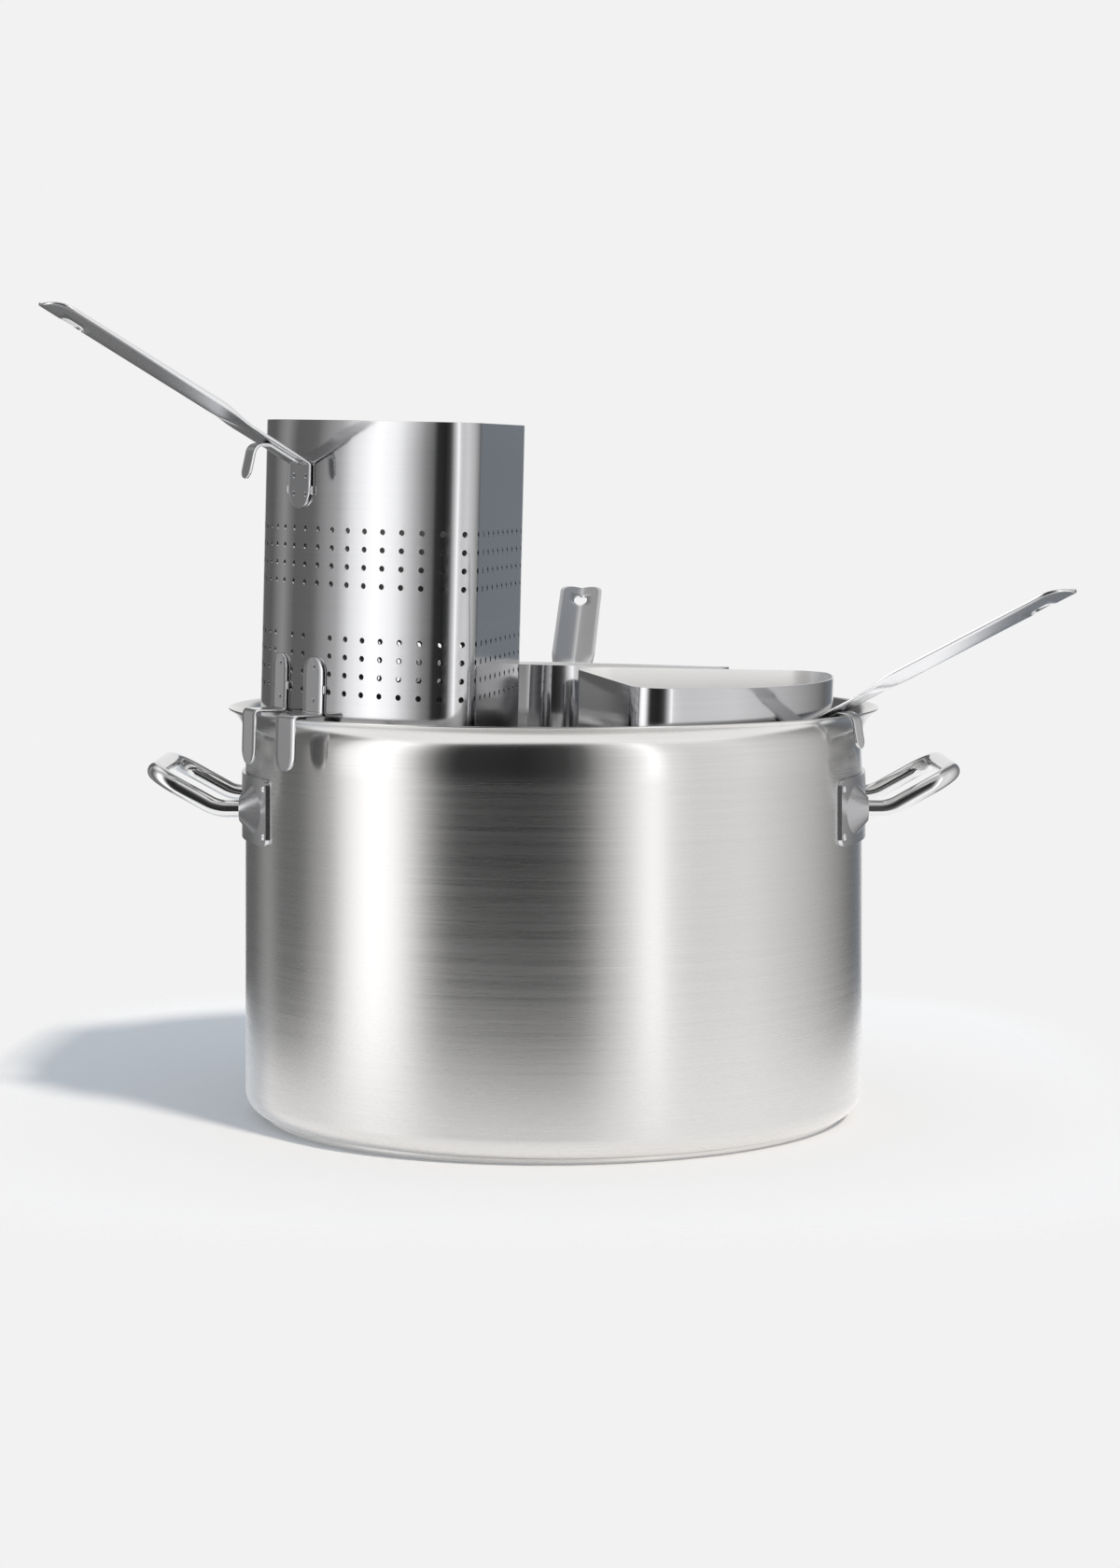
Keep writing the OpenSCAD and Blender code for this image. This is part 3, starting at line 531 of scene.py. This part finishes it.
# %% Bend the two rods
def bend_rod(side):
    """The U-shaped rod on the right (1) or left (-1) of the pot."""
    shape = bmesh.new()
    bmesh.ops.create_circle(shape, segments=28, radius=ROD_D / 2, cap_ends=True)
    ring = list(shape.edges)
    middle = Vector((BOSS_TOP_X - ROD_TENON, ROD_SPAN / 2, ROD_Z))
    turn_to_x = Matrix.Rotation(math.radians(90), 4, "Y")
    bmesh.ops.transform(shape, matrix=Matrix.Translation(middle) @ turn_to_x, verts=shape.verts)
    bend_cut = ROD_BEND_R * math.tan(ROD_RISE / 2)
    outwards = Vector((1, 0, 0))
    sloping = Vector((math.cos(ROD_RISE), 0, math.sin(ROD_RISE)))
    square = sloping.cross(ALONG_Y)
    leg = ROD_BEND_X - bend_cut - middle.x
    slope = ROD_RISE_LEN - bend_cut - ROD_CORNER_R
    route = (
        (outwards, leg, UP * ROD_BEND_R, -ALONG_Y, ROD_RISE, 8),
        (sloping, slope, -ALONG_Y * ROD_CORNER_R, -square, math.radians(90), 14),
        (-ALONG_Y, ROD_SPAN - 2 * ROD_CORNER_R, -sloping * ROD_CORNER_R, -square, math.radians(90), 14),
        (-sloping, slope, square * ROD_BEND_R, ALONG_Y, ROD_RISE, 8),
    )
    for direction, length, to_pivot, axis, angle, steps in route:
        ring = push(shape, ring, direction, length)
        pivot = middle + direction * length + to_pivot
        ring = turn_ring(shape, ring, pivot, axis, angle, steps)
        middle = pivot + Matrix.Rotation(angle, 3, axis) @ -to_pivot
    ring = push(shape, ring, -outwards, leg)
    bmesh.ops.contextual_create(shape, geom=ring)
    bmesh.ops.remove_doubles(shape, verts=shape.verts, dist=1e-3)
    if side < 0:
        bmesh.ops.rotate(shape, cent=(0, 0, 0), matrix=Matrix.Rotation(math.pi, 3, "Z"), verts=shape.verts)
    return shape


for side, name in ((-1, "left"), (1, "right")):
    rod = make_piece(bend_rod(side), name + "_rod", name + "_handle")
    print(rod.name, "faces:", len(rod.data.polygons))

# %% [markdown]
# ## Where a basket's sheet goes
# A basket is a sheet that is punched flat and then bent to a quarter circle with two tight corners
# and a wide one at the pot's middle. These functions say where each point of the flat sheet ends up,
# in the basket's own frame, and how the basket then sits on the pot.

# %% The bent line of a basket's wall
QUARTER = math.radians(45)
FLAT_TURN = math.radians(135)
CORNER_TURN = QUARTER - math.asin((BASKET_INSET + BASKET_CORNER_R) / (BASKET_R - BASKET_CORNER_R))
CORNER_MID = Vector((math.cos(CORNER_TURN), math.sin(CORNER_TURN))) * (BASKET_R - BASKET_CORNER_R)
APEX_MID = Vector(((APEX_R + BASKET_INSET) / math.sin(QUARTER), 0))
FLAT_OUT = Vector((math.cos(FLAT_TURN), math.sin(FLAT_TURN)))
FLAT_START = CORNER_MID + FLAT_OUT * BASKET_CORNER_R
FLAT_END = APEX_MID + FLAT_OUT * APEX_R
ARC_LEN = BASKET_R * CORNER_TURN
CORNER_LEN = BASKET_CORNER_R * (FLAT_TURN - CORNER_TURN)
FLAT_LEN = (FLAT_START - FLAT_END).length
HALF_WALL = ARC_LEN + CORNER_LEN + FLAT_LEN + APEX_R * QUARTER


def wall_point(along):
    """Place (x, y) and facing of the wall's outside, a length along it from its middle."""
    side, left = (1 if along >= 0 else -1), abs(along)
    if left <= ARC_LEN:
        facing = left / BASKET_R
        x, y = BASKET_R * math.cos(facing), BASKET_R * math.sin(facing)
    elif left <= ARC_LEN + CORNER_LEN:
        facing = CORNER_TURN + (left - ARC_LEN) / BASKET_CORNER_R
        x, y = CORNER_MID + BASKET_CORNER_R * Vector((math.cos(facing), math.sin(facing)))
    elif left <= ARC_LEN + CORNER_LEN + FLAT_LEN:
        facing = FLAT_TURN
        x, y = FLAT_START.lerp(FLAT_END, (left - ARC_LEN - CORNER_LEN) / FLAT_LEN)
    else:
        facing = FLAT_TURN + (left - ARC_LEN - CORNER_LEN - FLAT_LEN) / APEX_R
        x, y = APEX_MID + APEX_R * Vector((math.cos(facing), math.sin(facing)))
    return x, side * y, side * facing


print("half of the wall's length:", round(HALF_WALL, 1), "mm")


# %% A basket's seat on the pot, and a frame on its wall
def seat(basket):
    """Matrix from a basket's own frame to its place on the pot."""
    azimuth, wall_r, top, lean, roll, _ = SEATS[basket]
    turn = Matrix.Rotation(math.radians(azimuth - 90), 4, "Z")
    tilt = Matrix.Rotation(math.radians(lean), 4, "Y") @ Matrix.Rotation(math.radians(-roll), 4, "X")
    hung = turn @ Matrix.Translation((wall_r, 0, POT_H)) @ tilt
    return hung @ Matrix.Translation((-BASKET_R, 0, top - BASKET_H))


def on_wall(along, height=0):
    """Matrix of a frame on the wall: X points out of it, Z up."""
    x, y, facing = wall_point(along)
    return Matrix.Translation((x, y, height)) @ Matrix.Rotation(facing, 4, "Z")


print("seats:", ", ".join(SEATS))

# %% [markdown]
# ## The perforated walls
# The flat sheet starts as a grid whose lines run past each hole on all sides. Nine small faces in
# the middle of each hole's cell are taken out, and the twelve points round them move onto a circle.
# Then the sheet is bent, its ends are joined at the inner corner, and it gets its thickness.

# %% Lines of the flat sheet's grid
COLUMNS = math.floor(HALF_WALL / HOLE_PITCH)
hole_columns = [(i + 0.5) * HOLE_PITCH + PATTERN_SHIFT for i in range(-COLUMNS, COLUMNS)]
band_drop = (BAND_ROWS - 1) * ROW_PITCH + BAND_GAP
hole_rows = [BASKET_H - FIRST_ROW - row * ROW_PITCH - band * band_drop
             for band in (1, 0) for row in range(BAND_ROWS - 1, -1, -1)]
EDGE_SHARE = math.tan(math.radians(15))


def cell_lines(middle, pitch, halves):
    """Grid lines through one hole's cell; halves adds lines midway to the next hole."""
    lines = [middle + HOLE_R * share for share in (-1, -EDGE_SHARE, EDGE_SHARE, 1)]
    between = [middle - pitch / 2]
    if halves:
        between += [middle - pitch / 4 - HOLE_R / 2, middle + pitch / 4 + HOLE_R / 2]
    return lines + between


across_lines = {-HALF_WALL, HALF_WALL, hole_columns[-1] + HOLE_PITCH / 2}
for column in hole_columns:
    across_lines.update(cell_lines(column, HOLE_PITCH, True))
up_lines = {0, hole_rows[0] / 2, BASKET_H - FIRST_ROW / 2, BASKET_H}
up_lines.update((hole_rows[BAND_ROWS - 1] + ROW_PITCH / 2, hole_rows[-1] + ROW_PITCH / 2))
for row in hole_rows:
    up_lines.update(cell_lines(row, ROW_PITCH, False))
across_lines, up_lines = sorted(across_lines), sorted(up_lines)
print("grid:", len(across_lines), "by", len(up_lines), "lines")

# %% Punch the flat sheet
# Two columns of the lower band stay blank behind the hooks
blank_columns = (hole_columns[COLUMNS - 2], hole_columns[COLUMNS + 1])
holes = {(column, row) for column in hole_columns for row in hole_rows
         if not (column in blank_columns and row < hole_rows[BAND_ROWS])}


def nearest(places, value):
    """The place of a sorted list that is nearest to a value."""
    return min(places, key=lambda place: abs(place - value))


def punched_sheet():
    """The flat sheet with its round holes: X along the wall, Y up it."""
    shape = bmesh.new()
    columns, rows = len(across_lines) - 1, len(up_lines) - 1
    bmesh.ops.create_grid(shape, x_segments=columns, y_segments=rows, size=1)
    for vert in shape.verts:
        vert.co.x = across_lines[round((vert.co.x + 1) / 2 * columns)]
        vert.co.y = up_lines[round((vert.co.y + 1) / 2 * rows)]
    punched, edge = [], {}
    for face in shape.faces:
        middle = face.calc_center_median()
        hole = (nearest(hole_columns, middle.x), nearest(hole_rows, middle.y))
        if hole in holes and max(abs(middle.x - hole[0]), abs(middle.y - hole[1])) < HOLE_R:
            punched.append(face)
            edge.update((vert, Vector((*hole, 0))) for vert in face.verts)
    for vert, hole in edge.items():
        spoke = vert.co - hole
        if max(abs(spoke.x), abs(spoke.y)) > HOLE_R / 2:
            vert.co = hole + spoke.normalized() * HOLE_R
    bmesh.ops.delete(shape, geom=punched, context="FACES")
    return shape


print("holes in a wall:", len(holes))


# %% Bend the sheet to a wall
def bent_wall():
    """A basket's wall in the basket's own frame; its inside has the second finish, with painted shade that
    darkens with depth.
    """
    shape = punched_sheet()
    bmesh.ops.solidify(shape, geom=shape.faces[:], thickness=BASKET_SHEET)
    rim = [edge for edge in shape.edges if edge.calc_face_angle(0) > SQUARE_FOLD
           and min(vert.co.y for vert in edge.verts) > BASKET_H - MM
           and abs(edge.verts[0].co.x - edge.verts[1].co.x) > MM]
    bmesh.ops.bevel(shape, geom=rim, offset=SOFT_EDGE, offset_type="OFFSET", segments=2, profile=0.5,
                    affect="EDGES", material=-1)
    painted_shade_depth = shape.verts.layers.float.new("painted_shade_depth")
    ends = [face for face in shape.faces
            if min(abs(vert.co.x) for vert in face.verts) > HALF_WALL - MM]
    bmesh.ops.delete(shape, geom=ends, context="FACES")
    for face in shape.faces:
        face.material_index = int(min(abs(vert.co.z) for vert in face.verts) > BASKET_SHEET / 2)
    for vert in shape.verts:
        x, y, facing = wall_point(vert.co.x)
        depth = abs(vert.co.z)
        # How far below the rim a point is, which drives the inside's painted shade
        vert[painted_shade_depth] = 1 - vert.co.y / BASKET_H
        vert.co = (x - depth * math.cos(facing), y - depth * math.sin(facing), vert.co.y)
    bmesh.ops.remove_doubles(shape, verts=shape.verts, dist=0.01)
    return shape


for basket in BASKETS:
    shape = bent_wall()
    bmesh.ops.transform(shape, matrix=seat(basket), verts=shape.verts)
    wall = make_piece(shape, basket + "_sheet", basket + "_wall", INSIDE_STEEL)
    print(wall.name, "faces:", len(wall.data.polygons))

# %% [markdown]
# ## Straps: cut flat, then bent
# Handles, rests and hooks are cut from flat sheet, so they are modelled that way too: a grid is
# trimmed to the outline, given its thickness and softened edges while flat, and only then bent. The
# edges stay even along the whole strap, because the bend moves finished edges.

# %% Where a flat strap's points go when it is bent
def bend_point(steps, along, lift):
    """Place (out, up) of a point: steps are (length, turn, inside radius) of each run and its bend."""
    place, heading = Vector((0, 0)), 0.0
    for length, turn, bend_r in steps:
        ahead = Vector((math.cos(heading), math.sin(heading)))
        if along <= length or not turn:
            break
        place += ahead * length
        along -= length
        pivot = place + Vector((-ahead.y, ahead.x)) * (STRAP_SHEET + bend_r if turn > 0 else -bend_r)
        bend_len = abs(turn) * (bend_r + STRAP_SHEET / 2)
        swing = turn * min(along / bend_len, 1)
        place = pivot + Matrix.Rotation(swing, 2) @ (place - pivot)
        heading += swing
        along = max(along - bend_len, 0)
        if abs(swing) < abs(turn):
            break
    ahead = Vector((math.cos(heading), math.sin(heading)))
    return place + ahead * along + Vector((-ahead.y, ahead.x)) * lift


def strap_length(steps):
    """Length of the flat strap, with its bends."""
    return sum(length + abs(turn) * (bend_r + STRAP_SHEET / 2) for length, turn, bend_r in steps)


def strap_places(steps, spacing, bend_steps=8):
    """Places along a flat strap that get a line of points: some on each run, more in each bend."""
    places, at = [0], 0
    for length, turn, bend_r in steps:
        bend_len = abs(turn) * (bend_r + STRAP_SHEET / 2)
        runs = max(1, round(length / spacing))
        places += [at + length * i / runs for i in range(1, runs + 1)]
        places += [at + length + bend_len * i / bend_steps for i in range(1, bend_steps + 1) if turn]
        at += length + bend_len
    return places


print("strap thickness:", STRAP_SHEET, "mm")


# %% Cut a flat strap
def cut_strap(places, shares, half_width, total, round_start, slot_at=None):
    """A flat strap from X = 0; half_width(x) is its outline, with a round end where one is asked for."""
    wide = half_width(total)
    rounding = [math.sin(math.radians(turn)) for turn in range(0, 91, 10)]
    places = [x for x in places if x < total - wide and not (round_start and x <= half_width(0))]
    places += [total - wide + wide * share for share in rounding]
    if round_start:
        places += [half_width(0) * (1 - share) for share in rounding]
    if slot_at is not None:
        reach = SLOT_W / 2 * math.tan(math.radians(22.5))
        middles = [slot_at + side * (SLOT_L - SLOT_W) / 2 for side in (-1, 1)]
        slot_lines = [middle + side * length for middle, side in zip(middles, (-1, 1))
                      for length in (0, reach, SLOT_W / 2)]
        keep = [x for x in places if abs(x - slot_at) > SLOT_L / 2 + 1]
        places = keep + slot_lines
    places = sorted(set(places))
    shape = bmesh.new()
    columns, rows = len(places) - 1, len(shares) - 1
    bmesh.ops.create_grid(shape, x_segments=columns, y_segments=rows, size=1)
    for vert in shape.verts:
        vert.co.x = places[round((vert.co.x + 1) / 2 * columns)]
        vert.co.y = shares[round((vert.co.y + 1) / 2 * rows)] * wide
    if slot_at is not None:
        inside = [face for face in shape.faces
                  if abs(face.calc_center_median().x - slot_at) < SLOT_L / 2
                  and abs(face.calc_center_median().y) < SLOT_W / 2]
        for vert in {vert for face in inside for vert in face.verts}:
            middle = Vector((min(max(vert.co.x, middles[0]), middles[1]), 0, 0))
            spoke = vert.co - middle
            if max(abs(spoke.x), abs(spoke.y)) > SLOT_W / 2 - MM:
                vert.co = middle + spoke.normalized() * SLOT_W / 2
        bmesh.ops.delete(shape, geom=inside, context="FACES")
    for vert in shape.verts:
        half = half_width(vert.co.x)
        if vert.co.x > total - wide:
            half = math.sqrt(max(wide ** 2 - (vert.co.x - total + wide) ** 2, 0))
        elif round_start and vert.co.x < half:
            half = math.sqrt(max(half ** 2 - (half - vert.co.x) ** 2, 0))
        vert.co.y *= half / wide
    bmesh.ops.remove_doubles(shape, verts=shape.verts, dist=0.01)
    bmesh.ops.solidify(shape, geom=shape.faces[:], thickness=STRAP_SHEET)
    for vert in shape.verts:
        vert.co.z = STRAP_SHEET if abs(vert.co.z) > STRAP_SHEET / 2 else 0
    bmesh.ops.recalc_face_normals(shape, faces=shape.faces)
    corners = [edge for edge in shape.edges if edge.calc_face_angle(0) > SQUARE_FOLD]
    bmesh.ops.bevel(shape, geom=corners, offset=SOFT_EDGE, offset_type="OFFSET", segments=2, profile=0.5,
                    affect="EDGES", material=-1)
    return shape


print("softened edges:", SOFT_EDGE, "mm")

# %% Bend the hooks
EVEN_SHARES = (-1, -0.6, 0, 0.6, 1)
hook_steps = (
    (HOOK_PLATE_H - STRAP_SHEET - HOOK_BEND_R, math.radians(90), HOOK_BEND_R),
    (HOOK_REACH - WELD_GAP - STRAP_SHEET - 2 * HOOK_BEND_R, -math.radians(90), HOOK_BEND_R),
    (HOOK_LEG - HOOK_BEND_R, 0, 0),
)
for basket in BASKETS:
    for side, letter in ((-1, "a"), (1, "b")):
        total = strap_length(hook_steps)
        shape = cut_strap(strap_places(hook_steps, 8), EVEN_SHARES, lambda x: HOOK_W / 2, total, True)
        for vert in shape.verts:
            down, out = bend_point(hook_steps, vert.co.x, vert.co.z)
            vert.co = (out, vert.co.y, -down)
        place = on_wall(side * HOOK_HALF + PATTERN_SHIFT) @ Matrix.Translation(
            (WELD_GAP, 0, BASKET_H - HOOK_DROP + HOOK_PLATE_H))
        bmesh.ops.transform(shape, matrix=seat(basket) @ place, verts=shape.verts)
        hook = make_piece(shape, basket + "_hook_strap_" + letter, basket + "_hook_" + letter)
print("hook faces:", len(hook.data.polygons))

# %% Bend the rests
lip_reach = POT_R + LIP_OVERHANG - INPLACE_R
lean = math.radians(LEAN)
rest_z = BASKET_H - INPLACE_TOP * math.cos(lean) + lip_reach * math.sin(lean) + SEAT_GAP
handle_z = BASKET_H - HANDLE_DROP


def handle_frame(rise):
    """Matrix of the handle's straight run, from its bend's end: X along it, Z out of its top."""
    stand_off = Vector((WELD_GAP + STRAP_SHEET + HANDLE_BEND_R, 0, 0))
    outwards = on_wall(PATTERN_SHIFT, handle_z) @ Matrix.Translation(stand_off)
    return outwards @ Matrix.Rotation(-rise, 4, "Y") @ Matrix.Translation((0, 0, HANDLE_BEND_R))


for basket in BASKETS:
    rise = math.radians(SEATS[basket][5])
    lower = HANDLE_BEND_R - WELD_GAP - STRAP_SHEET - REST_BEND_R
    slope = (rest_z - handle_z - lower * math.cos(rise) - REST_BEND_R) / math.sin(rise)
    level_x = WELD_GAP + STRAP_SHEET + HANDLE_BEND_R + slope * math.cos(rise) - lower * math.sin(rise)
    rest_steps = (
        (slope, -rise, REST_BEND_R),
        (max(REST_LEVEL, lip_reach + REST_PAST_LIP - level_x), -math.radians(REST_TURN), REST_HOOK_R),
        (REST_TAIL + REST_W / 2, 0, 0),
    )
    total = strap_length(rest_steps)
    shape = cut_strap(strap_places(rest_steps, 6), EVEN_SHARES, lambda x: REST_W / 2, total, False)
    for vert in shape.verts:
        out, up = bend_point(rest_steps, vert.co.x, vert.co.z)
        vert.co = (out, vert.co.y, up - WELD_GAP - STRAP_SHEET)
    bmesh.ops.transform(shape, matrix=seat(basket) @ handle_frame(rise), verts=shape.verts)
    rest = make_piece(shape, basket + "_rest_strap", basket + "_rest")
print("rest faces:", len(rest.data.polygons))

# %% [markdown]
# ## The long handles
# A handle is flat where it leaves the basket and folds into a shallow gutter further out, which is
# what makes thin sheet stiff. The fold is a lift of the strap's two sides that grows along it, with
# a small radius at the crease, so that the crease shows as a soft line.

# %% Fold and bend the handles
CREASE = 1.0
# Places of the lines along the handle, as shares of its half width; two run along the slot's sides
SLOT_SHARE = SLOT_W / HANDLE_W
GUTTER_SHARES = (-1, -0.8, -0.55, -SLOT_SHARE, -0.126, -0.05, 0, 0.05, 0.126, SLOT_SHARE, 0.55, 0.8, 1)


def gutter_part(run):
    """Share of the gutter's full depth at a place on the handle's run."""
    share = min(max((run - HANDLE_FLAT) / HANDLE_BLEND, 0), 1)
    return share * share * (3 - 2 * share)


def handle_half(along):
    """Half of the handle's width, a length from the tab's end."""
    share = min(max((along - tab_and_bend - HANDLE_FLAT) / HANDLE_BLEND, 0), 1)
    return (TAB_W + (HANDLE_W - TAB_W) * share) / 2


for basket in BASKETS:
    rise = math.radians(SEATS[basket][5])
    handle_steps = ((TAB_H, rise - math.radians(90), HANDLE_BEND_R), (HANDLE_LEN, 0, 0))
    total = strap_length(handle_steps)
    tab_and_bend = total - HANDLE_LEN
    shape = cut_strap(strap_places(handle_steps, 4), GUTTER_SHARES, handle_half, total, True,
                      total - SLOT_IN)
    for vert in shape.verts:
        part = gutter_part(vert.co.x - tab_and_bend)
        dip = HANDLE_W / 4 * math.tan(GUTTER)
        fold = math.hypot(vert.co.y, CREASE) * math.tan(GUTTER) - dip
        lift = vert.co.z * (1 + part * (1 / math.cos(GUTTER) - 1)) + part * fold
        up, inwards = bend_point(handle_steps, vert.co.x, lift)
        vert.co = (STRAP_SHEET - inwards, vert.co.y, up - TAB_H)
    place = on_wall(PATTERN_SHIFT, handle_z) @ Matrix.Translation((WELD_GAP, 0, 0))
    bmesh.ops.transform(shape, matrix=seat(basket) @ place, verts=shape.verts)
    handle = make_piece(shape, basket + "_gutter_handle", basket + "_handle", sharp=35)
print("handle faces:", len(handle.data.polygons))
